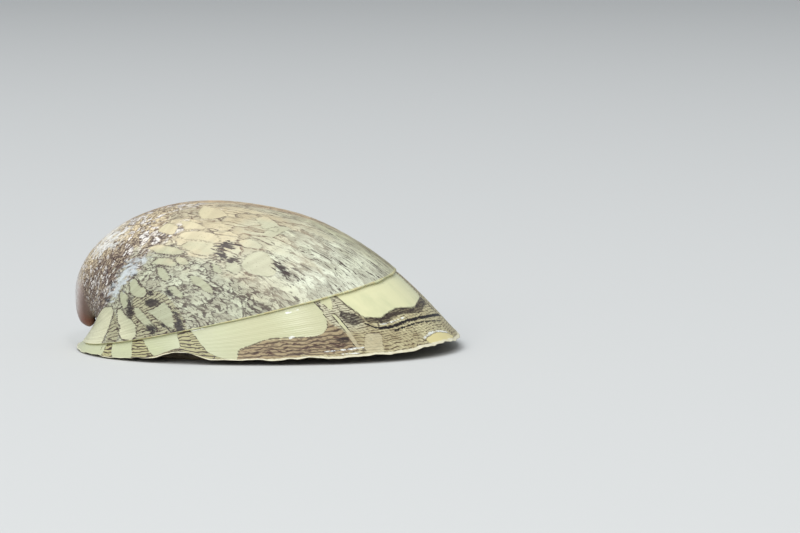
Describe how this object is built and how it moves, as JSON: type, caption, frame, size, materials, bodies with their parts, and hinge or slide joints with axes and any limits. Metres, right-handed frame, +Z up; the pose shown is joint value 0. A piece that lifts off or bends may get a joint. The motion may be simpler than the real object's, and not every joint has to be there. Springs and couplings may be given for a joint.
{
  "type": "limpet nerite snail",
  "caption": "Life-size freshwater limpet nerite snail, clamped flat on its foot, with a low oval shell, a hooked apex and tucked head.",
  "frame": {"origin": "on the flat sole of the foot, where it rests, under the middle of the shell's length", "axes": "+X towards the head, +Y to the animal's left, +Z up"},
  "size_m": [0.03, 0.0216, 0.0114],
  "materials": {
    "old_shell": "satin, old shell with a fine dark net on grey green",
    "worn_apex": "worn smooth, brown and chalky white",
    "new_shell": "fresh glossy growth, cream with dark tongues and streaks",
    "flesh": "moist soft flesh, grey brown with a paler sole",
    "eye": "wet black"
  },
  "bodies": {
    "root": {"shell_apex": "worn_apex", "shell_body": "old_shell", "shell_lip": "new_shell", "visceral_hump": "flesh", "foot": "flesh", "head": "flesh", "mantle_front": "flesh", "mantle_left": "flesh", "mantle_right": "flesh", "mantle_rear": "flesh", "tentacle_left": "flesh", "tentacle_right": "flesh", "eyestalk_left": "flesh", "eyestalk_right": "flesh", "eye_left": "eye", "eye_right": "eye"}
  },
  "joints": []
}
